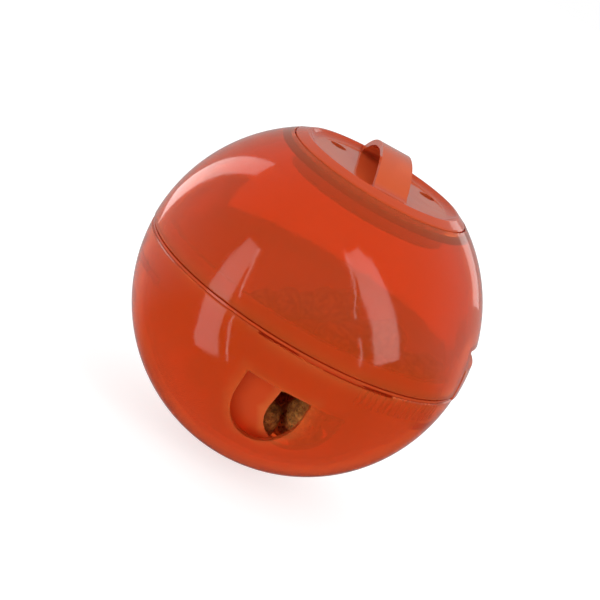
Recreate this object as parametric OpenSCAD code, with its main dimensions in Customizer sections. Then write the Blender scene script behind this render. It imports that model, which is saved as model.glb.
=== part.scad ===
// Treat dispensing ball. Millimetres, +Z up along the ball's axis.
// The origin is the lowest point of the ball, where it touches the floor.
// Heights in the modules are counted from the middle of the ball, and stand() lifts them.
// Azimuths are in degrees, zero at the middle of the window (-Y) and growing towards +X.

/* [Ball] */
// Outside diameter of the ball
ball_d = 76; // [68:1:90]
// Wall of both shells
shell_t = 1.8; // [1.4:0.1:2.4]
// How far the upper shell stands proud of the lower one
upper_proud = 0.15; // [0:0.05:0.3]
// Height of the band that shows between the two shells
band_h = 0.95; // [0.7:0.05:1.6]
// Height of the lower edge of the band under the middle of the ball
band_drop = 0.3; // [0.1:0.05:0.6]
// Bevel on the outer edge of each shell
edge_bevel = 0.25; // [0.1:0.05:0.4]

/* [Window] */
// Width of the window
window_w = 14.9; // [10:0.1:18]
// Distance from the middle of the ball down to the straight top edge
window_drop = 8.8; // [8.6:0.1:11]
// Height of the straight sides
window_side_h = 4.7; // [2:0.1:6]
// Height of the rounded bottom
window_round_h = 10; // [7:0.1:11]
// Radius of the two top corners
window_corner_r = 0.4; // [0.3:0.1:1.5]

/* [Shutter ring] */
// Wall of the shutter ring
ring_t = 1.4; // [1:0.1:1.6]
// Running clearance between the ring and the shells
ring_gap = 0.3; // [0.25:0.05:0.4]
// How far the ring reaches below the window
ring_below_window = 3.4; // [2:0.1:5]
// Height of the ring's neck inside the upper shell
neck_h = 3.6; // [2.5:0.1:5]
// How far the ring's window is turned from the shell's window
window_turn = 13.8; // [5:0.1:20]
// How much lower the top edge of the ring's window is
ring_window_top_inset = 0.5; // [0:0.1:1]
// How much shorter the ring's window is at its round end
ring_window_end_inset = 1.4; // [0:0.1:2.5]
// How far the band stays back from the ball's surface
band_inset = 0.2; // [0.1:0.05:0.4]

/* [Clicks and stop] */
// Number of click grooves
click_count = 16; // [8:1:18]
// Angle from one click groove to the next
click_pitch = 2.47; // [2.2:0.01:2.6]
// Azimuth of the first click groove
click_start = 24.3; // [22:0.1:28]
// Height of the click grooves
click_h = 4.6; // [3:0.1:5]
// Depth of the click grooves at their top end
click_depth = 0.45; // [0.3:0.05:0.6]
// Width of a click groove
click_w = 0.8; // [0.6:0.05:0.9]
// How far the click bead stands out of the ring
bead_proud = 0.15; // [0.05:0.01:0.18]
// Depth of the stop slot in the lower shell's edge
stop_depth = 0.5; // [0.4:0.05:0.8]
// Azimuth of the near side of the stop lug
stop_lug_start = -0.5; // [-4:0.5:2]
// Width of the stop lug, in degrees
stop_lug_width = 23.5; // [12:0.5:26]
// Travel from here to fully open, in degrees
open_travel = 13.8; // [5:0.1:20]
// Travel from here to fully closed, in degrees
close_travel = 11.2; // [5:0.1:20]
// Spare travel at each end of the stop slot, in degrees
stop_spare = 0.4; // [0.2:0.1:1]
// Width of a snap lug, in degrees
snap_width = 12; // [8:1:16]
// How far a snap lug stands out of the ring
snap_proud = 0.7; // [0.5:0.05:0.9]
// Height of a snap lug
snap_h = 0.9; // [0.6:0.1:1.2]
// Distance from the middle of the ball down to the middle of a snap lug
snap_drop = 6.7; // [6.4:0.1:6.9]
// Clearance round a snap lug in its groove
snap_gap = 0.3; // [0.25:0.05:0.4]

/* [Latches] */
// Number of latches that hold the upper shell on the ring
latch_count = 2; // [1:1:2]
// Angle from the first latch to the second, uneven so that the shell goes on one way only
latch_step = 160; // [150:1:168]
// Azimuth of the edge of the first latch
latch_start = 70; // [60:1:80]
// Width of the notch in the upper shell
notch_w = 16; // [10:0.5:20]
// Height of the notch's top edge above the middle of the ball
notch_top = 11.5; // [10:0.1:14]
// Height of the latch boss above the middle of the ball
boss_top = 7.2; // [5:0.1:8.5]
// How far the latch boss stands proud of the ball
boss_proud = 0.3; // [0.1:0.05:0.5]
// How far the latch tongue overlaps the notch at each side and above
tongue_overlap = 1.6; // [1:0.1:2.5]
// Clearance at the sides of the latch boss
latch_gap = 0.3; // [0.2:0.05:0.4]

/* [Cap] */
// Radius of the cap where it meets the upper shell
cap_r = 20.8; // [19:0.1:23]
// Parting gap round the cap
cap_gap = 0.25; // [0.2:0.05:0.35]
// Radius of the fill mouth in the upper shell
mouth_r = 18.6; // [17:0.1:18.8]
// Depth of the cap's seat below the ball's surface
seat_depth = 1.6; // [1.2:0.1:2]
// Thickness of the ledge that the cap rests on
ledge_t = 1.5; // [1:0.1:2]
// Radius of the outer edge of the cap's rim top
rim_r = 18.6; // [18:0.1:19]
// Rise of the rim top above the parting line
rim_rise = 1.25; // [0.8:0.05:1.6]
// Width of the rim top
rim_w = 0.6; // [0.4:0.05:1]
// Depth of the dish under the rim top
dish_depth = 0.95; // [0.8:0.05:1.6]
// How far the dish's curved wall reaches inwards
dish_wall_w = 2.4; // [1.6:0.1:3]
// Thickness of the dish floor
dish_t = 1.4; // [1:0.1:1.8]
// Clearance between the cap's plug and the fill mouth
plug_gap = 0.3; // [0.25:0.05:0.4]
// Wall of the plug
plug_t = 1.3; // [1:0.1:1.5]
// Length of the plug below the cap's seat
plug_h = 4.6; // [3.5:0.1:6]
// How far the snap bead stands out of the plug
plug_bead = 0.2; // [0.1:0.01:0.22]
// Radius of a vent hole in the dish
vent_r = 1.9; // [1:0.1:2.2]

/* [Strap handle] */
// Azimuth of the strap's near end
strap_azimuth = 4.7; // [-180:0.1:180]
// Width of the strap at its middle
strap_w = 7; // [5:0.1:9]
// Width of the strap at its feet
strap_foot_w = 7.8; // [6:0.1:10]
// Thickness of the strap
strap_t = 1.3; // [1:0.1:1.8]
// Height of the strap's crest above the rim top
strap_rise = 5.5; // [5:0.1:7]
// Outside radius of the strap's arch
strap_arch_r = 26; // [25:0.5:30]
// Radius of the hollow curve where the strap runs into the rim
strap_fillet_r = 5; // [3:0.5:5.5]

/* [Treats] */
// Diameter of a treat pellet
pellet_d = 8; // [6:0.1:9]
// Height of a treat pellet
pellet_h = 5.6; // [4:0.1:6]
// Radius of a pellet's rounded edge
pellet_edge_r = 1.8; // [1:0.1:2]
// Least gap between pellets
pellet_gap = 0.25; // [0.2:0.05:0.6]
// Least gap between the pellets and the ring
pile_gap = 0.5; // [0.4:0.1:1]
// Height of the heap's top above the middle of the ball, along the heap's axis
pile_level = 3.5; // [-6:0.5:6]
// Fall of the heap's surface from its top to the ring
pile_fall = 21; // [10:1:26]
// Turn of the heap's rows about its axis
pile_turn = 31; // [0:1:60]
// Lean of the heap's axis, from the way the ball lies in the photo
pile_lean = 34; // [0:1:45]
// Azimuth towards which the heap's axis leans
pile_lean_azimuth = 240; // [0:1:360]

/* [Hidden] */
$fn = 96;

// One overrun serves all cuts
over = 1;
ball_r = ball_d / 2;
inner_r = ball_r - shell_t;
ring_outer_r = inner_r - ring_gap;
ring_inner_r = ring_outer_r - ring_t;
ring_middle_r = (ring_outer_r + ring_inner_r) / 2;
band_r = ball_r - band_inset;
upper_outer_r = ball_r + upper_proud;
snap_r = sqrt(pow(ring_outer_r, 2) - pow(snap_drop, 2));

// Heights of the band between the shells
lower_edge_z = -band_drop;
upper_edge_z = band_h - band_drop;
band_clearance = 0.15;
band_low_z = lower_edge_z + band_clearance;
band_high_z = upper_edge_z - 2 * band_clearance;
band_middle_z = (band_low_z + band_high_z) / 2;
ring_foot_z = -window_drop - window_side_h - window_round_h - ring_below_window;

// Azimuths of the snap lugs that hold the ring down in the lower shell
snap_azimuths = [75, 180, 285];

// Vent holes: azimuth from the strap's near end, and distance from the axis as a share of dish_r
vent_shares = [[-127.7, 0.82], [115.9, 0.85]];

// How far the heap's rows are shifted, as shares of the pellets' step
pile_shift_shares = [0.04, -0.18];

// Treats that lie behind the window: azimuth, elevation, and distance as a share of the pile's radius
window_treat_shares = [[20.5, -30.6, 1], [7, -44.6, 1], [29, -53, 0.9]];

// Degrees by which a pellet lies differently from the one before it
pellet_roll = 137;
pellet_tip = 83;
layer_roll = 61;
layer_tip = 29;

// Heights of the cap and its seat
cap_edge_z = sqrt(pow(ball_r, 2) - pow(cap_r, 2));
seat_z = cap_edge_z - seat_depth;
rim_z = cap_edge_z + rim_rise;
rim_inner_r = rim_r - rim_w;
dish_z = rim_z - dish_depth;
dish_r = rim_inner_r - dish_wall_w;
dish_wall_r = (pow(dish_wall_w, 2) + pow(dish_depth, 2)) / 2 / dish_depth;
plug_r = mouth_r - plug_gap;
plug_foot_z = seat_z - plug_h;

// The strap's arch is centred on the axis, below its crest
arch_z = rim_z + strap_rise - strap_arch_r;
fillet_x = sqrt(pow(strap_arch_r + strap_fillet_r, 2) - pow(rim_z + strap_fillet_r - arch_z, 2));

function half_angle(w, r) = asin(w / 2 / r);
function on_circle(r, a) = [r * cos(a), r * sin(a)];

// Lifts the ball's middle to its radius above the floor
module stand() {
    translate([0, 0, ball_r]) children();
}

// Turns +X to an azimuth
module at_azimuth(a) {
    rotate([0, 0, a - 90]) children();
}

// Ring sector between two azimuths, two radii and two heights
module sector(from, to, r_in, r_out, low, high) {
    at_azimuth(from)
        rotate_extrude(angle = to - from)
            translate([r_in, low]) square([r_out - r_in, high - low]);
}

// Part of a hollow ball between two heights
module ball_band(r_out, r_in, low, high) {
    intersection() {
        difference() {
            sphere(r_out);
            sphere(r_in);
        }
        translate([0, 0, low]) cylinder(r = r_out + over, h = high - low);
    }
}

// Window outline: straight top with rounded corners, straight sides, half an ellipse below
module window_outline(w, side_h, round_h) {
    steps = 36;
    corner_steps = 5;
    c = window_corner_r;
    polygon(concat(
        [for (i = [0 : corner_steps]) [w / 2 - c, -c] + on_circle(c, 90 * i / corner_steps)],
        [for (i = [0 : corner_steps]) [c - w / 2, -c] + on_circle(c, 90 + 90 * i / corner_steps)],
        [for (i = [0 : steps]) let (a = 180 + 180 * i / steps)
            [w / 2 * cos(a), round_h * sin(a) - side_h]]
    ));
}

// Straight punch through the front wall, as a side core leaves it
module window_punch(top_inset, end_inset) {
    translate([0, 0, -window_drop - top_inset])
        rotate([90, 0, 0])
            linear_extrude(ball_r + over)
                window_outline(window_w, window_side_h - top_inset, window_round_h - end_inset);
}

// Triangular ring that takes the outer edge off a shell
module edge_cut(r, z, side) {
    rotate_extrude()
        polygon([[r - edge_bevel, z + side * over], [r - edge_bevel, z],
                 [r, z - side * edge_bevel], [r + over, z - side * edge_bevel],
                 [r + over, z + side * over]]);
}

module click_grooves() {
    for (i = [0 : click_count - 1])
        at_azimuth(click_start + i * click_pitch)
            translate([inner_r - over, -click_w / 2, lower_edge_z - click_h])
                cube([click_depth + over, click_w, click_h + over]);
}

module stop_slot() {
    sector(stop_lug_start - open_travel - stop_spare,
           stop_lug_start + stop_lug_width + close_travel + stop_spare,
           inner_r - over, ball_r + over, lower_edge_z - stop_depth, lower_edge_z + over);
}

module snap_grooves() {
    spare = half_angle(2 * snap_gap, snap_r);
    for (a = snap_azimuths)
        sector(a - snap_width / 2 - open_travel - spare, a + snap_width / 2 + close_travel + spare,
               ring_middle_r, snap_r + snap_proud + snap_gap,
               -snap_drop - snap_h / 2 - snap_gap, -snap_drop + snap_h / 2 + snap_gap);
}

module lower_shell() {
    color([0.85, 0.25, 0.1, 0.6])
        stand()
            difference() {
                ball_band(ball_r, inner_r, -ball_r - over, lower_edge_z);
                window_punch(0, 0);
                click_grooves();
                stop_slot();
                snap_grooves();
                edge_cut(sqrt(pow(ball_r, 2) - pow(lower_edge_z, 2)), lower_edge_z, 1);
            }
}

// Outline in which the ring's wall rises behind a notch of the upper shell
module tongue_reach() {
    half_plate = half_angle(notch_w + 2 * tongue_overlap, ring_outer_r);
    sector(-half_plate, half_plate, 0, ball_r, band_low_z, notch_top + tongue_overlap);
}

// Boss that fills a notch of the upper shell
module latch_boss() {
    half_boss = half_angle(notch_w - 2 * latch_gap, ball_r);
    intersection() {
        sphere(ball_r + boss_proud);
        sector(-half_boss, half_boss, ring_middle_r, ball_r + over, band_middle_z, boss_top);
    }
}

// Upright bead that drops from one click groove to the next
module click_bead() {
    low = lower_edge_z - click_h + ring_gap;
    high = lower_edge_z - stop_depth - ring_gap;
    intersection() {
        sphere(ring_outer_r + bead_proud);
        translate([ring_middle_r, -click_w / 2, low]) cube([ring_t, click_w, high - low]);
    }
}

module latch_places() {
    half_notch = half_angle(notch_w, ball_r);
    for (i = [0 : latch_count - 1])
        rotate([0, 0, latch_start + half_notch + i * latch_step]) children();
}

module shutter_ring() {
    bead_azimuth = click_start + floor(click_count / 2) * click_pitch;
    color([0.8, 0.2, 0.1, 0.6])
        stand()
            difference() {
                union() {
                    intersection() {
                        sphere(ring_outer_r);
                        union() {
                            translate([0, 0, ring_foot_z])
                                cylinder(r = ball_r, h = band_high_z + neck_h - ring_foot_z);
                            latch_places() tongue_reach();
                        }
                    }
                    translate([0, 0, band_low_z])
                        cylinder(r = band_r, h = band_high_z - band_low_z);
                    sector(stop_lug_start, stop_lug_start + stop_lug_width, ring_middle_r,
                           band_r - band_inset, lower_edge_z - stop_depth + band_clearance, band_middle_z);
                    latch_places() latch_boss();
                    for (a = snap_azimuths)
                        sector(a - snap_width / 2, a + snap_width / 2, ring_middle_r, snap_r + snap_proud,
                               -snap_drop - snap_h / 2, -snap_drop + snap_h / 2);
                    at_azimuth(bead_azimuth) click_bead();
                }
                sphere(ring_inner_r);
                rotate([0, 0, window_turn]) window_punch(ring_window_top_inset, ring_window_end_inset);
            }
}

// Takes the edge off the shell round the cap
module seat_bevel() {
    edge_r = cap_r + cap_gap;
    edge_z = sqrt(pow(upper_outer_r, 2) - pow(edge_r, 2));
    rotate_extrude()
        polygon([[edge_r - over, edge_z - edge_bevel], [edge_r, edge_z - edge_bevel],
                 [edge_r + edge_bevel, edge_z], [edge_r + edge_bevel, edge_z + over],
                 [edge_r - over, edge_z + over]]);
}

module upper_shell() {
    mouth_foot_z = seat_z - ledge_t;
    color([0.85, 0.25, 0.1, 0.6])
        stand()
            difference() {
                union() {
                    ball_band(upper_outer_r, inner_r, upper_edge_z, cap_edge_z + over);
                    intersection() {
                        sphere(upper_outer_r);
                        translate([0, 0, mouth_foot_z]) cylinder(r = ball_r, h = ledge_t);
                    }
                }
                translate([0, 0, mouth_foot_z - over]) cylinder(r = mouth_r, h = ball_r);
                translate([0, 0, seat_z]) cylinder(r = cap_r + cap_gap, h = ball_r);
                latch_places()
                    intersection() {
                        half_notch = half_angle(notch_w, ball_r);
                        sector(-half_notch, half_notch, 0, ball_r + over, upper_edge_z - over, notch_top);
                    }
                edge_cut(sqrt(pow(upper_outer_r, 2) - pow(upper_edge_z, 2)), upper_edge_z, -1);
                seat_bevel();
            }
}

// Half section of the cap without its strap
module cap_section() {
    difference() {
        union() {
            polygon([[0, rim_z], [rim_r, rim_z], [cap_r - edge_bevel, cap_edge_z + edge_bevel],
                     [cap_r, cap_edge_z], [cap_r, seat_z], [plug_r, seat_z], [plug_r, plug_foot_z],
                     [plug_r - plug_t, plug_foot_z], [plug_r - plug_t, dish_z - dish_t],
                     [0, dish_z - dish_t]]);
            translate([plug_r - plug_bead, plug_foot_z + 2 * plug_bead]) circle(2 * plug_bead);
        }
        translate([0, dish_z]) square([dish_r, ball_r]);
        translate([dish_r, dish_z + dish_wall_r]) circle(dish_wall_r);
    }
}

// Side view of the strap: an arch whose feet run into the rim
module strap_profile() {
    arch_share = strap_arch_r / (strap_arch_r + strap_fillet_r);
    difference() {
        union() {
            intersection() {
                translate([0, arch_z]) circle(strap_arch_r);
                translate([-fillet_x, dish_z - dish_t / 2]) square([2 * fillet_x, ball_r]);
            }
            for (side = [-1, 1])
                difference() {
                    polygon([[side * fillet_x * arch_share,
                              arch_z + (rim_z + strap_fillet_r - arch_z) * arch_share],
                             [side * fillet_x, rim_z], [side * fillet_x, dish_z - dish_t / 2],
                             [side * dish_r, dish_z - dish_t / 2]]);
                    translate([side * fillet_x, rim_z + strap_fillet_r]) circle(strap_fillet_r);
                }
        }
        translate([0, arch_z]) circle(strap_arch_r - strap_t);
    }
}

// Plan of the strap, narrowest at its middle
module strap_plan() {
    polygon([[-fillet_x, -strap_foot_w / 2], [0, -strap_w / 2], [fillet_x, -strap_foot_w / 2],
             [fillet_x, strap_foot_w / 2], [0, strap_w / 2], [-fillet_x, strap_foot_w / 2]]);
}

module strap() {
    at_azimuth(strap_azimuth)
        intersection() {
            rotate([90, 0, 0])
                linear_extrude(strap_foot_w, center = true) strap_profile();
            linear_extrude(ball_d) strap_plan();
        }
}

module fill_cap() {
    color([0.9, 0.3, 0.1, 0.6])
        stand()
            difference() {
                union() {
                    rotate_extrude() cap_section();
                    strap();
                }
                for (v = vent_shares)
                    at_azimuth(strap_azimuth + v[0])
                        translate([v[1] * dish_r, 0, dish_z - dish_t - over])
                            cylinder(r = vent_r, h = dish_t + 2 * over);
            }
}

// One treat: a low round pellet with a rounded edge
module pellet() {
    $fn = 28;
    e = pellet_edge_r;
    rotate_extrude()
        intersection() {
            union() {
                translate([0, -pellet_h / 2]) square([pellet_d / 2 - e, pellet_h]);
                translate([0, e - pellet_h / 2]) square([pellet_d / 2, pellet_h - 2 * e]);
                for (side = [-1, 1])
                    translate([pellet_d / 2 - e, side * (pellet_h / 2 - e)]) circle(e);
            }
            translate([0, -pellet_h]) square([pellet_d, 2 * pellet_h]);
        }
}

// Close-packed places for the pellets, kept inside the ring and under the heap's surface
pellet_reach = norm([pellet_d / 2 - pellet_edge_r, pellet_h / 2 - pellet_edge_r]) + pellet_edge_r;
pellet_step = 2 * pellet_reach + pellet_gap;
pile_r = ring_inner_r - pile_gap - pellet_reach;
layer_step = pellet_step * sqrt(6) / 3;
row_step = pellet_step * sqrt(3) / 2;
layers = ceil(pile_r / layer_step);
rows = ceil(pile_r / row_step) + 1;

function pellet_place(i, j, k) = [
    pellet_step * (i + ((j + k) % 2 == 0 ? 0 : 0.5) + pile_shift_shares[0]),
    row_step * (j + (k % 2 == 0 ? 0 : 1 / 3)) + pellet_step * pile_shift_shares[1],
    pile_level - pellet_reach - layer_step * k
];

function turned(p, a) = [p[0] * cos(a) - p[1] * sin(a), p[0] * sin(a) + p[1] * cos(a), p[2]];

// Turns a place in the leaning heap into a place in the ball
function lean(p) =
    let (t = turned(p, pile_turn))
    turned([t[0] * cos(pile_lean) + t[2] * sin(pile_lean), t[1],
            t[2] * cos(pile_lean) - t[0] * sin(pile_lean)], pile_lean_azimuth - 90);

// Depth of a place under the heap's surface, which slopes more the further out it is
function cover(p) = pile_level - pile_fall * pow(norm([p[0], p[1]]) / pile_r, 1.5) - p[2];

function window_place(s) =
    pile_r * s[2] * [sin(s[0]) * cos(s[1]), -cos(s[0]) * cos(s[1]), sin(s[1])];

function box_distance(p, low, high) = norm([for (i = [0 : 2]) max(low[i] - p[i], 0, p[i] - high[i])]);

// Free way through both walls at the open half of the window
throat_foot_z = -window_drop - window_side_h - ring_window_end_inset;
throat_depth = sqrt(pow(ring_inner_r, 2) - pow(throat_foot_z, 2)) - pile_gap;
throat_low = [0, -ball_r, throat_foot_z];
throat_high = [window_w / 2, -throat_depth, -window_drop];

module kibble() {
    color([0.72, 0.5, 0.25])
        stand() {
            for (s = window_treat_shares)
                rotate([0, 0, s[0]])
                    rotate([-s[1], 0, 0])
                        translate([0, -pile_r * s[2], 0])
                            rotate([0, 90, 0]) pellet();
            at_azimuth(pile_lean_azimuth)
                rotate([0, pile_lean, 0])
                    rotate([0, 0, pile_turn])
                        for (k = [0 : 2 * layers], j = [-rows : rows], i = [-rows : rows]) {
                            p = pellet_place(i, j, k);
                            way = box_distance(lean(p), throat_low, throat_high);
                            spare = min([for (s = window_treat_shares) norm(lean(p) - window_place(s))]);
                            if (norm(p) < pile_r && cover(p) > 0 && way > pellet_reach
                                    && spare > pellet_step)
                                translate(p)
                                    rotate([i * pellet_roll + k * layer_roll,
                                            j * pellet_tip + k * layer_tip, 0])
                                        pellet();
                        }
        }
}

lower_shell();
shutter_ring();
upper_shell();
fill_cap();
kibble();
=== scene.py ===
"""Plastic, treats and studio for a treat dispensing ball that comes in from the frame."""

import math

import bmesh
import bpy
import numpy as np
from bpy.props import FloatProperty, FloatVectorProperty, IntProperty, PointerProperty
from mathutils import Matrix, Vector, noise


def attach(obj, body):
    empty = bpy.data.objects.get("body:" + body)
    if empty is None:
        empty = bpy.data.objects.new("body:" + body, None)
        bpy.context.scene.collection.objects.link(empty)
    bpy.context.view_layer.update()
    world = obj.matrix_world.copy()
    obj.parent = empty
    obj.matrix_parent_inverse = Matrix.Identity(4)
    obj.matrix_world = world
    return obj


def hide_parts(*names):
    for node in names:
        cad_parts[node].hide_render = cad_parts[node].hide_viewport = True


bl_info = {
    "name": "Treat Ball Dressing",
    "version": (1, 0, 0),
    "blender": (4, 5, 0),
    "location": "3D View > Sidebar > Treat Ball",
    "description": "Plastic, treats and studio for a treat dispensing ball",
    "category": "Object",
}

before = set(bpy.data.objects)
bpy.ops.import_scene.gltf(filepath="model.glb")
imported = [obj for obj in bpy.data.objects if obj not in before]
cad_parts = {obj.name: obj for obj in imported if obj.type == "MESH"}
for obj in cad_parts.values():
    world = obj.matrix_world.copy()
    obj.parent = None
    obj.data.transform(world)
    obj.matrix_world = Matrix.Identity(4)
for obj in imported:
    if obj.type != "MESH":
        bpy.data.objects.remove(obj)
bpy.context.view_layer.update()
BALL_MIDDLE = Vector((0.0, 0.0, 0.038))

# Patches of the plastic that are most and least polished, as shares of the set roughness
POLISHED_SHARE, HANDLED_SHARE = 0.7, 1.6
PLASTIC_IOR = 1.5
# Flow marks to the metre on the shells, the ring and the cap
SHELL_FLOW, RING_FLOW, CAP_FLOW = 55.0, 70.0, 80.0

# Corners of the frame's treats that lie closer than this are one corner, in metres
WELD = 1e-6
# Treats behind the window: middle and radius of the spot in metres, and their size beside others
WINDOW_SPOT = Vector((0.004, -0.034, 0.026))
WINDOW_SPOT_RADIUS = 0.012
WINDOW_GROWTH = 1.10
# Steps of roundness of a treat behind the window and of one in the heap
WINDOW_STEPS, HEAP_STEPS = 5, 3
# A treat's outline between an ellipse (2) and a box, and its limit as a share of the half width
SQUARENESS = 2.6
REACH_LIMIT = 1.05
# Lobes round a treat: the fewest, how many kinds there are, and the step from treat to treat
FEWEST_LOBES, LOBE_KINDS, LOBE_STEP = 2, 3, 5
# Height of a lobe as a share, and its turn from treat to treat in radians
LOBE_SHARE, LOBE_TURN = 0.10, 1.3
# Lumps on a treat: fineness and height of each layer, fineness of the first, and gain of them all
LUMP_LAYERS = ((1.0, 0.55), (2.3, 0.3), (5.1, 0.2), (11.0, 0.10))
LUMP_FINENESS = 1.9
LUMP_GAIN = 1.6
# Steps through the noise from one seed to the next
SEED_STEPS = (3.1, 1.7, 0.9)

# Directions from the ball's middle to the camera and up in the picture
CAMERA_BACK = Vector((-0.1145, -0.9602, 0.2554)).normalized()
CAMERA_UP = Vector((-0.4855, 0.2785, 0.829)).normalized()
CAMERA_SENSOR = 36.0
CAMERA_SHIFT = (-0.0114, 0.0033)
CAMERA_REACH = (0.01, 20.0)

# Direction of the table's reflection in the picture's axes, and where it starts and is full
TABLE_WAY = Vector((-0.30, -0.95, 0.0))
TABLE_START, TABLE_FULL = 0.0, 0.35
# The gloss goes from the near side's brightness to the far side's between these two
GLOSS_NEAR, GLOSS_FAR = -0.6, 0.6

WHITE = (1.0, 1.0, 1.0, 1.0)
FLOOR_TINT = (0.45, 0.45, 0.45, 1.0)
# Light that the floor adds where it is seen, so that it looks white and keeps the shadow
FLOOR_LIFT = 0.70
FLOOR_HALF = 1.5

# Lamps: name, directions of top and foot in the picture's axes, their distances in metres,
# width and fan in degrees, and brightness
LAMPS = (
    ("left_softbox", (-0.50, 0.57, 0.65), (-0.865, -0.42, 0.28),
     (0.85, 0.70), 17.0, 150.0, 1.2),
    ("right_softbox", (0.45, 0.50, 0.74), (0.72, -0.56, 0.41),
     (1.05, 0.70), 16.0, 145.0, 1.5),
    ("left_edge_light_upper", (-0.459, 0.519, 0.722), (-0.672, 0.030, 0.740),
     (0.80, 0.80), 0.9, 150.0, 2.4),
    ("left_edge_light_lower", (-0.688, -0.050, 0.724), (-0.732, -0.522, 0.438),
     (0.75, 0.75), 0.9, 150.0, 2.4),
    ("right_edge_light_upper", (0.389, 0.505, 0.770), (0.510, -0.175, 0.842),
     (0.80, 0.80), 0.9, 150.0, 2.4),
    ("right_edge_light_lower", (0.530, -0.343, 0.775), (0.514, -0.615, 0.597),
     (0.75, 0.75), 0.9, 150.0, 2.4),
    ("back_left_softbox", (-0.30, 0.94, -0.14), (-0.50, 0.34, -0.80),
     (0.75, 0.65), 12.5, 150.0, 1.25),
    ("back_right_softbox", (0.56, 0.38, -0.72), (0.62, -0.02, -0.77),
     (0.70, 0.70), 14.0, 150.0, 0.6),
)


class PlasticSettings(bpy.types.PropertyGroup):
    """Colours and gloss of the moulded plastic"""

    shell_colour: FloatVectorProperty(
        name="Shell", description="Tint of the two shells", subtype="COLOR",
        size=4, min=0.0, max=1.0, default=(0.96, 0.130, 0.021, 1.0),
    )
    ring_colour: FloatVectorProperty(
        name="Ring", description="Tint of the shutter ring", subtype="COLOR",
        size=4, min=0.0, max=1.0, default=(0.90, 0.105, 0.022, 1.0),
    )
    cap_colour: FloatVectorProperty(
        name="Cap", description="Tint of the cap and its strap", subtype="COLOR",
        size=4, min=0.0, max=1.0, default=(0.82, 0.095, 0.022, 1.0),
    )
    # Painted edge glow: a lighter tint on the shells' pointy edges, standing in for the light
    # those edges gather
    edge_glow_colour: FloatVectorProperty(
        name="Shell edges", description="Lighter tint where a shell's edge gathers light",
        subtype="COLOR", size=4, min=0.0, max=1.0, default=(1.0, 0.26, 0.06, 1.0),
    )
    # Painted edge glow: a lighter tint on the pointy edges of the ring and its band, standing in
    # for gathered light
    ring_edge_glow_colour: FloatVectorProperty(
        name="Ring edges", description="Tint at the edges of the ring and its band",
        subtype="COLOR", size=4, min=0.0, max=1.0, default=(1.0, 0.27, 0.07, 1.0),
    )
    # Painted edge glow: a lighter tint on the pointy edges of the cap and strap, standing in for
    # gathered light
    cap_edge_glow_colour: FloatVectorProperty(
        name="Cap edges", description="Tint at the edges of the cap and its strap",
        subtype="COLOR", size=4, min=0.0, max=1.0, default=(0.84, 0.14, 0.04, 1.0),
    )
    roughness: FloatProperty(
        name="Roughness", description="Roughness of the polished faces", subtype="FACTOR",
        min=0.0, max=1.0, default=0.09,
    )
    upper_clearness: FloatProperty(
        name="Upper clearness", description="Share of the light that passes the upper shell",
        subtype="FACTOR", min=0.0, max=1.0, default=0.71,
    )
    lower_clearness: FloatProperty(
        name="Lower clearness", description="Share of the light that passes the lower shell",
        subtype="FACTOR", min=0.0, max=1.0, default=0.72,
    )
    ring_clearness: FloatProperty(
        name="Ring clearness", description="Share of the light that passes the shutter ring",
        subtype="FACTOR", min=0.0, max=1.0, default=0.52,
    )
    cap_clearness: FloatProperty(
        name="Cap clearness", description="Share of the light that passes the cap",
        subtype="FACTOR", min=0.0, max=1.0, default=0.35,
    )


class TreatSettings(bpy.types.PropertyGroup):
    """Size, shape and colour of the treats"""

    half_width: FloatProperty(
        name="Half width", description="Middle of a treat to its edge", subtype="DISTANCE",
        unit="LENGTH", min=0.002, max=0.005, default=0.0040,
    )
    half_height: FloatProperty(
        name="Half height", description="Middle of a treat to its flat face", subtype="DISTANCE",
        unit="LENGTH", min=0.002, max=0.004, default=0.0029,
    )
    lump: FloatProperty(
        name="Lumps", description="Height of the lumps, as a share of a treat's radius",
        subtype="FACTOR", min=0.0, max=0.4, default=0.16,
    )
    seed: IntProperty(
        name="Seed", description="Changes the treats' shapes", min=0, default=10,
    )
    crust_colour: FloatVectorProperty(
        name="Crust", description="Baked surface", subtype="COLOR",
        size=4, min=0.0, max=1.0, default=(0.54, 0.22, 0.054, 1.0),
    )
    crumb_colour: FloatVectorProperty(
        name="Crumb", description="Paler crumb", subtype="COLOR",
        size=4, min=0.0, max=1.0, default=(1.0, 0.50, 0.12, 1.0),
    )
    # Painted shade: a near-black tint for the pits, darkening the dents that the bump makes in the
    # crust
    pit_shade_colour: FloatVectorProperty(
        name="Pits", description="Dark pits in the crust", subtype="COLOR",
        size=4, min=0.0, max=1.0, default=(0.035, 0.014, 0.007, 1.0),
    )


class StageSettings(bpy.types.PropertyGroup):
    """Camera and light"""

    camera_distance: FloatProperty(
        name="Distance", description="Camera to the ball's middle", subtype="DISTANCE",
        unit="LENGTH", min=0.2, default=0.456,
    )
    lens: FloatProperty(
        name="Lens", description="Focal length in millimetres", min=20.0, default=125.8,
    )
    daylight: FloatProperty(
        name="Surround", description="Brightness of the white surround", min=0.0, default=0.93,
    )
    front_gloss: FloatProperty(
        name="Front in gloss", description="Brightness of the studio's near side in the gloss",
        min=0.0, default=0.15,
    )
    back_gloss: FloatProperty(
        name="Back in gloss", description="Brightness of the studio's far side in the gloss",
        min=0.0, default=0.44,
    )
    table_gloss: FloatProperty(
        name="Table in gloss", description="Share of that brightness which is left below the ball",
        subtype="FACTOR", min=0.0, max=1.0, default=0.12,
    )


def add_node(tree, kind, place, **settings):
    """A node of a shader tree, with its settings and unlinked inputs."""
    node = tree.nodes.new(kind)
    node.location = place
    inputs = settings.pop("inputs", {})
    for name, value in settings.items():
        setattr(node, name, value)
    for name, value in inputs.items():
        node.inputs[name].default_value = value
    return node


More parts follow.
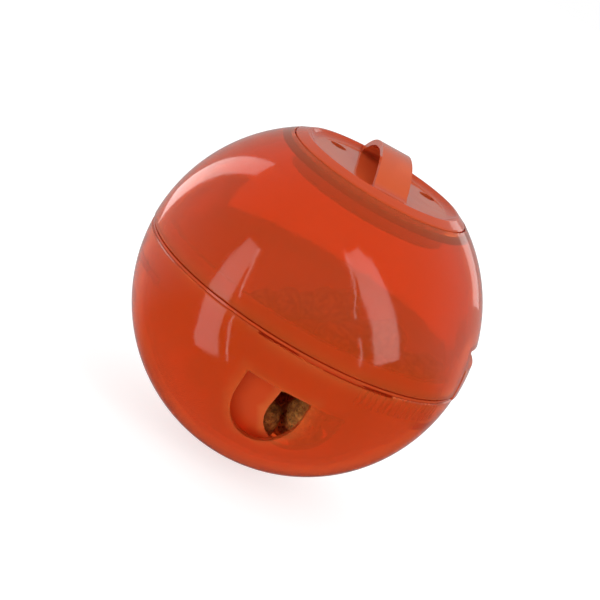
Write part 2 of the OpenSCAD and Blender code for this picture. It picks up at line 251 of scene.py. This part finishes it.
def new_material(name, inputs):
    """A material with only its output and its surface shader, whose inputs are given by name."""
    material = bpy.data.materials.new(name)
    material.use_nodes = True
    tree = material.node_tree
    tree.nodes.clear()
    output = add_node(tree, "ShaderNodeOutputMaterial", (700, 0))
    shader = add_node(tree, "ShaderNodeBsdfPrincipled", (380, 0), inputs=inputs)
    tree.links.new(shader.outputs["BSDF"], output.inputs["Surface"])
    return material, tree, shader


def moulding_group():
    """Flow marks and handled patches of moulded plastic; its sizes are counts to the metre."""
    name = "Moulding marks"
    if name in bpy.data.node_groups:
        return bpy.data.node_groups[name]
    group = bpy.data.node_groups.new(name, "ShaderNodeTree")
    face = group.interface
    for label, default in (
        ("Flow size", 60.0),
        ("Haze size", 420.0),
        ("Low roughness", 0.05),
        ("High roughness", 0.12),
    ):
        socket = face.new_socket(name=label, in_out="INPUT", socket_type="NodeSocketFloat")
        socket.default_value = default
    for label in ("Flow", "Roughness", "Height"):
        face.new_socket(name=label, in_out="OUTPUT", socket_type="NodeSocketFloat")
    start = add_node(group, "NodeGroupInput", (-900, 0))
    end = add_node(group, "NodeGroupOutput", (700, 0))
    where = add_node(group, "ShaderNodeTexCoord", (-900, -300))
    flow = add_node(
        group, "ShaderNodeTexNoise", (-600, 200),
        inputs={"Detail": 2.0, "Roughness": 0.4, "Distortion": 0.6},
    )
    haze = add_node(
        group, "ShaderNodeTexNoise", (-600, -100), inputs={"Detail": 5.0, "Roughness": 0.65}
    )
    wear = add_node(
        group, "ShaderNodeMapRange", (-250, -100), inputs={"From Min": 0.42, "From Max": 0.75}
    )
    join = group.links.new
    for texture, size in ((flow, "Flow size"), (haze, "Haze size")):
        join(where.outputs["Object"], texture.inputs["Vector"])
        join(start.outputs[size], texture.inputs["Scale"])
    join(haze.outputs["Fac"], wear.inputs["Value"])
    join(start.outputs["Low roughness"], wear.inputs["To Min"])
    join(start.outputs["High roughness"], wear.inputs["To Max"])
    join(flow.outputs["Fac"], end.inputs["Flow"])
    join(wear.outputs["Result"], end.inputs["Roughness"])
    join(flow.outputs["Fac"], end.inputs["Height"])
    return group


def plastic_material(name, colour, edge_glow_colour, roughness, clearness, flow_size):
    """Glossy tinted plastic that light passes through, with a painted glow that lightens its
    pointy edges.
    """
    material, tree, shader = new_material(
        name, {"IOR": PLASTIC_IOR, "Transmission Weight": clearness}
    )
    marks = add_node(
        tree, "ShaderNodeGroup", (-600, 0), node_tree=moulding_group(),
        inputs={
            "Flow size": flow_size,
            "Low roughness": roughness * POLISHED_SHARE,
            "High roughness": roughness * HANDLED_SHARE,
        },
    )
    shape = add_node(tree, "ShaderNodeNewGeometry", (-900, 350))
    # Painted edge glow: where the mesh is pointy, the base colour turns to the lighter edge tint
    # in place of gathered light
    edge_glow_mask = add_node(
        tree, "ShaderNodeMapRange", (-600, 350), inputs={"From Min": 0.52, "From Max": 0.62}
    )
    tone = add_node(
        tree, "ShaderNodeMapRange", (-300, 150), inputs={"To Min": 0.94, "To Max": 1.03}
    )
    base = add_node(
        tree, "ShaderNodeMix", (-300, 400), data_type="RGBA",
        inputs={"A": colour, "B": edge_glow_colour},
    )
    shade = add_node(tree, "ShaderNodeVectorMath", (0, 300), operation="SCALE")
    bump = add_node(
        tree, "ShaderNodeBump", (0, -250), inputs={"Strength": 0.6, "Distance": 0.00035}
    )
    join = tree.links.new
    join(shape.outputs["Pointiness"], edge_glow_mask.inputs["Value"])
    join(edge_glow_mask.outputs["Result"], base.inputs["Factor"])
    join(marks.outputs["Flow"], tone.inputs["Value"])
    join(base.outputs["Result"], shade.inputs[0])
    join(tone.outputs["Result"], shade.inputs["Scale"])
    join(shade.outputs["Vector"], shader.inputs["Base Color"])
    join(marks.outputs["Roughness"], shader.inputs["Roughness"])
    join(marks.outputs["Height"], bump.inputs["Height"])
    join(bump.outputs["Normal"], shader.inputs["Normal"])
    return material


def treat_material(look):
    """Baked crust with paler crumb, and dark pits where shade is painted into the dents."""
    material, tree, shader = new_material(
        "baked_crumb", {"Roughness": 0.95, "Specular IOR Level": 0.2}
    )
    where = add_node(tree, "ShaderNodeTexCoord", (-1200, 0))
    coarse = add_node(
        tree, "ShaderNodeTexNoise", (-950, 300),
        inputs={"Scale": 760.0, "Detail": 4.0, "Roughness": 0.65},
    )
    fine = add_node(
        tree, "ShaderNodeTexNoise", (-950, 0),
        inputs={"Scale": 1900.0, "Detail": 6.0, "Roughness": 0.75},
    )
    pits = add_node(tree, "ShaderNodeTexVoronoi", (-950, -300), inputs={"Scale": 900.0})
    crumb = add_node(
        tree, "ShaderNodeMapRange", (-650, 300), inputs={"From Min": 0.43, "From Max": 0.62}
    )
    colour = add_node(
        tree, "ShaderNodeMix", (-400, 300), data_type="RGBA",
        inputs={"A": look.crust_colour, "B": look.crumb_colour},
    )
    # Painted shade: the pits take the dark pit tint where the same mask dents the crust in the
    # bump
    hollow = add_node(
        tree, "ShaderNodeMapRange", (-650, -300),
        inputs={"From Min": 0.05, "From Max": 0.3, "To Min": 1.0, "To Max": 0.0},
    )
    pit_shade = add_node(tree, "ShaderNodeMath", (-400, -150), operation="MULTIPLY")
    dark = add_node(
        tree, "ShaderNodeMix", (-150, 200), data_type="RGBA", inputs={"B": look.pit_shade_colour}
    )
    height = add_node(tree, "ShaderNodeMath", (-150, -300), operation="SUBTRACT")
    bump = add_node(
        tree, "ShaderNodeBump", (100, -250), inputs={"Strength": 1.0, "Distance": 0.0009}
    )
    join = tree.links.new
    for texture in (coarse, fine, pits):
        join(where.outputs["Object"], texture.inputs["Vector"])
    join(coarse.outputs["Fac"], crumb.inputs["Value"])
    join(crumb.outputs["Result"], colour.inputs["Factor"])
    join(pits.outputs["Distance"], hollow.inputs["Value"])
    join(hollow.outputs["Result"], pit_shade.inputs[0])
    join(fine.outputs["Fac"], pit_shade.inputs[1])
    join(pit_shade.outputs["Value"], dark.inputs["Factor"])
    join(colour.outputs["Result"], dark.inputs["A"])
    join(fine.outputs["Fac"], height.inputs[0])
    join(pit_shade.outputs["Value"], height.inputs[1])
    join(height.outputs["Value"], bump.inputs["Height"])
    join(dark.outputs["Result"], shader.inputs["Base Color"])
    join(bump.outputs["Normal"], shader.inputs["Normal"])
    return material


class TREAT_OT_plastic(bpy.types.Operator):
    """Give the four mouldings their tinted plastic"""

    bl_idname = "treat_ball.plastic"
    bl_label = "Plastic Mouldings"

    def execute(self, context):
        look = context.scene.treat_plastic
        # Each tuple holds the tint, the painted edge-glow tint and the flow size
        shell = (look.shell_colour, look.edge_glow_colour, SHELL_FLOW)
        ring = (look.ring_colour, look.ring_edge_glow_colour, RING_FLOW)
        cap = (look.cap_colour, look.cap_edge_glow_colour, CAP_FLOW)
        for node, (colour, edge_glow_colour, flow_size), clearness in (
            ("lower_shell", shell, look.lower_clearness),
            ("shutter_ring", ring, look.ring_clearness),
            ("upper_shell", shell, look.upper_clearness),
            ("fill_cap", cap, look.cap_clearness),
        ):
            material = plastic_material(
                "tinted_" + node, colour, edge_glow_colour, look.roughness, clearness, flow_size
            )
            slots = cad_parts[node].data.materials
            slots.clear()
            slots.append(material)
        return {"FINISHED"}


def treat_islands(thing):
    """Corner points of each separate treat in the frame's node."""
    build = bmesh.new()
    build.from_mesh(thing.data)
    bmesh.ops.remove_doubles(build, verts=build.verts, dist=WELD)
    build.verts.ensure_lookup_table()
    seen, islands = set(), []
    for first in build.verts:
        if first.index in seen:
            continue
        seen.add(first.index)
        stack, points = [first], []
        while stack:
            vert = stack.pop()
            points.append(vert.co[:])
            for edge in vert.link_edges:
                other = edge.other_vert(vert)
                if other.index not in seen:
                    seen.add(other.index)
                    stack.append(other)
        islands.append(np.array(points))
    build.free()
    return islands


def treat_axes(points):
    """Rotation whose last column is the treat's short way, from its corner points."""
    spread = points - points.mean(0)
    axes = np.linalg.eigh(spread.T @ spread)[1]
    turn = Matrix((axes[:, 1], axes[:, 2], axes[:, 0])).transposed()
    if turn.determinant() < 0:
        turn.col[0].negate()
    return turn


def treat_radius(look, direction, index, growth):
    """Distance of a treat's surface along a direction of its own axes, in metres."""
    flat = math.hypot(direction.x, direction.y)
    turn = math.atan2(direction.y, direction.x)
    lobes = FEWEST_LOBES + (index * LOBE_STEP) % LOBE_KINDS
    across, tall = look.half_width * growth, look.half_height * growth
    limit = REACH_LIMIT * across
    across *= 1.0 + LOBE_SHARE * math.cos(lobes * turn + index * LOBE_TURN) * flat
    outline = abs(flat / across) ** SQUARENESS + abs(direction.z / tall) ** SQUARENESS
    seed = look.seed + index
    place = direction * LUMP_FINENESS + Vector([seed * step for step in SEED_STEPS])
    lumps = sum(share * noise.noise(place * fineness) for fineness, share in LUMP_LAYERS)
    return min(outline ** (-1.0 / SQUARENESS) * (1.0 + look.lump * lumps * LUMP_GAIN), limit)


class TREAT_OT_treats(bpy.types.Operator):
    """Build the loose baked treats inside the ball"""

    bl_idname = "treat_ball.treats"
    bl_label = "Treats"

    def execute(self, context):
        look = context.scene.treat_crumb
        build = bmesh.new()
        for index, points in enumerate(treat_islands(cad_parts["kibble"])):
            middle = Vector((points.max(0) + points.min(0)) / 2)
            turn = treat_axes(points)
            close = (middle - WINDOW_SPOT).length < WINDOW_SPOT_RADIUS
            growth = WINDOW_GROWTH if close else 1.0
            ball = bmesh.ops.create_icosphere(
                build, subdivisions=WINDOW_STEPS if close else HEAP_STEPS, radius=1.0
            )
            for vert in ball["verts"]:
                direction = vert.co.normalized()
                reach = treat_radius(look, direction, index, growth)
                vert.co = middle + turn @ (direction * reach)
        for face in build.faces:
            face.smooth = True
        mesh = bpy.data.meshes.new("treats")
        build.to_mesh(mesh)
        build.free()
        mesh.materials.append(treat_material(look))
        pile = bpy.data.objects.new("treats", mesh)
        context.scene.collection.objects.link(pile)
        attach(pile, "lower_half")
        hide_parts("kibble")
        return {"FINISHED"}


def camera_turn():
    """Rotation whose columns are the picture's right, up and back directions."""
    right = CAMERA_UP.cross(CAMERA_BACK).normalized()
    up = CAMERA_BACK.cross(right)
    return Matrix((right, up, CAMERA_BACK)).transposed()


def white_where_seen(tree, place):
    """Light path, and 1 for rays that see the studio, also through the plastic, else 0."""
    path = add_node(tree, "ShaderNodeLightPath", place)
    seen = add_node(tree, "ShaderNodeMath", (place[0] + 220, place[1]), operation="MAXIMUM")
    tree.links.new(path.outputs["Is Camera Ray"], seen.inputs[0])
    tree.links.new(path.outputs["Is Transmission Ray"], seen.inputs[1])
    return path, seen


def add_surround(scene, look):
    """White surround whose gloss is dimmer on the near side and over the table."""
    world = bpy.data.worlds.new("white_surround")
    scene.world = world
    world.use_nodes = True
    tree = world.node_tree
    tree.nodes.clear()
    path, seen = white_where_seen(tree, (-700, 100))
    lit = add_node(
        tree, "ShaderNodeMix", (-250, 0), data_type="FLOAT", inputs={"A": look.daylight, "B": 1.0}
    )
    where = add_node(tree, "ShaderNodeTexCoord", (-900, -250))
    behind = add_node(tree, "ShaderNodeVectorMath", (-700, -250), operation="DOT_PRODUCT")
    behind.inputs[1].default_value = -CAMERA_BACK
    depth = add_node(
        tree, "ShaderNodeMapRange", (-480, -250), interpolation_type="SMOOTHSTEP",
        inputs={
            "From Min": GLOSS_NEAR,
            "From Max": GLOSS_FAR,
            "To Min": look.front_gloss,
            "To Max": look.back_gloss,
        },
    )
    below = add_node(tree, "ShaderNodeVectorMath", (-700, -500), operation="DOT_PRODUCT")
    below.inputs[1].default_value = camera_turn() @ TABLE_WAY
    table = add_node(
        tree, "ShaderNodeMapRange", (-480, -500), interpolation_type="SMOOTHSTEP",
        inputs={
            "From Min": TABLE_START,
            "From Max": TABLE_FULL,
            "To Min": 1.0,
            "To Max": look.table_gloss,
        },
    )
    dimmed = add_node(tree, "ShaderNodeMath", (-250, -350), operation="MULTIPLY")
    glossy = add_node(tree, "ShaderNodeMix", (-50, 0), data_type="FLOAT")
    backdrop = add_node(tree, "ShaderNodeBackground", (150, 0), inputs={"Color": WHITE})
    output = add_node(tree, "ShaderNodeOutputWorld", (350, 0))
    join = tree.links.new
    join(where.outputs["Generated"], behind.inputs[0])
    join(behind.outputs["Value"], depth.inputs["Value"])
    join(where.outputs["Generated"], below.inputs[0])
    join(below.outputs["Value"], table.inputs["Value"])
    join(depth.outputs["Result"], dimmed.inputs[0])
    join(table.outputs["Result"], dimmed.inputs[1])
    join(dimmed.outputs["Value"], glossy.inputs["B"])
    join(seen.outputs["Value"], lit.inputs["Factor"])
    join(lit.outputs["Result"], glossy.inputs["A"])
    join(path.outputs["Is Glossy Ray"], glossy.inputs["Factor"])
    join(glossy.outputs["Result"], backdrop.inputs["Strength"])
    join(backdrop.outputs["Background"], output.inputs["Surface"])


def add_floor(scene):
    """White floor that takes the ball's shadow and throws no light back on it."""
    build = bmesh.new()
    bmesh.ops.create_grid(build, x_segments=8, y_segments=8, size=FLOOR_HALF)
    mesh = bpy.data.meshes.new("floor")
    build.to_mesh(mesh)
    build.free()
    floor = bpy.data.objects.new("floor", mesh)
    scene.collection.objects.link(floor)
    material, tree, shader = new_material(
        "white_floor",
        {
            "Base Color": FLOOR_TINT,
            "Roughness": 0.9,
            "Specular IOR Level": 0.0,
            "Emission Color": WHITE,
        },
    )
    seen = white_where_seen(tree, (-400, -200))[1]
    lift = add_node(tree, "ShaderNodeMath", (0, -200), operation="MULTIPLY")
    lift.inputs[1].default_value = FLOOR_LIFT
    tree.links.new(seen.outputs["Value"], lift.inputs[0])
    tree.links.new(lift.outputs["Value"], shader.inputs["Emission Strength"])
    mesh.materials.append(material)
    floor.visible_diffuse = False
    floor.visible_glossy = False
    floor.visible_shadow = False


def add_lamp(scene, name, top, foot, distances, width, fan, brightness):
    """Strip lamp that faces the ball, with its ends in two directions of the picture's axes."""
    turn = camera_turn()
    head = turn @ Vector(top).normalized() * distances[0]
    tail = turn @ Vector(foot).normalized() * distances[1]
    along = (head - tail).normalized()
    middle = (head + tail) / 2
    way = (middle - along * middle.dot(along)).normalized()
    lamp = bpy.data.lights.new(name, "AREA")
    lamp.shape = "RECTANGLE"
    lamp.size = 2 * middle.length * math.tan(math.radians(width) / 2)
    lamp.size_y = (head - tail).length
    lamp.spread = math.radians(fan)
    lamp.energy = brightness * math.pi * lamp.size * lamp.size_y
    thing = bpy.data.objects.new(name, lamp)
    thing.location = BALL_MIDDLE + middle
    thing.rotation_mode = "QUATERNION"
    facing = Matrix((along.cross(way), along, way)).transposed()
    thing.rotation_quaternion = facing.to_quaternion()
    thing.visible_camera = False
    scene.collection.objects.link(thing)


def add_camera(scene, look):
    """Camera that looks at the ball as the picture does."""
    camera = bpy.data.cameras.new("camera")
    camera.lens = look.lens
    camera.sensor_width = CAMERA_SENSOR
    camera.shift_x, camera.shift_y = CAMERA_SHIFT
    camera.clip_start, camera.clip_end = CAMERA_REACH
    thing = bpy.data.objects.new("camera", camera)
    thing.rotation_mode = "QUATERNION"
    thing.location = BALL_MIDDLE + CAMERA_BACK * look.camera_distance
    thing.rotation_quaternion = camera_turn().to_quaternion()
    scene.collection.objects.link(thing)
    scene.camera = thing


class TREAT_OT_stage(bpy.types.Operator):
    """Set up the floor, the white surround, the lamps and the camera"""

    bl_idname = "treat_ball.stage"
    bl_label = "Studio"

    def execute(self, context):
        scene = context.scene
        look = scene.treat_stage
        scene.view_settings.view_transform = "Standard"
        add_surround(scene, look)
        add_floor(scene)
        for lamp in LAMPS:
            add_lamp(scene, *lamp)
        add_camera(scene, look)
        return {"FINISHED"}


class TREAT_PT_panel(bpy.types.Panel):
    """Lists the settings and the steps that dress the ball"""

    bl_idname = "TREAT_PT_panel"
    bl_label = "Treat Ball"
    bl_space_type = "VIEW_3D"
    bl_region_type = "UI"
    bl_category = "Treat Ball"

    def draw(self, context):
        scene = context.scene
        for settings in (scene.treat_plastic, scene.treat_crumb, scene.treat_stage):
            box = self.layout.box()
            for name in settings.__annotations__:
                box.prop(settings, name)
        for step in STEPS:
            self.layout.operator(step.bl_idname)


STEPS = (TREAT_OT_plastic, TREAT_OT_treats, TREAT_OT_stage)
CLASSES = (PlasticSettings, TreatSettings, StageSettings, *STEPS, TREAT_PT_panel)


def register():
    """Registers the settings, the steps and the panel."""
    for item in CLASSES:
        bpy.utils.register_class(item)
    bpy.types.Scene.treat_plastic = PointerProperty(type=PlasticSettings)
    bpy.types.Scene.treat_crumb = PointerProperty(type=TreatSettings)
    bpy.types.Scene.treat_stage = PointerProperty(type=StageSettings)


def unregister():
    """Takes them out again."""
    del bpy.types.Scene.treat_stage
    del bpy.types.Scene.treat_crumb
    del bpy.types.Scene.treat_plastic
    for item in reversed(CLASSES):
        bpy.utils.unregister_class(item)


def main():
    """Registers the add-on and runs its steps."""
    register()
    bpy.ops.treat_ball.plastic()
    bpy.ops.treat_ball.treats()
    bpy.ops.treat_ball.stage()
    bpy.context.view_layer.update()


if __name__ == "__main__":
    main()
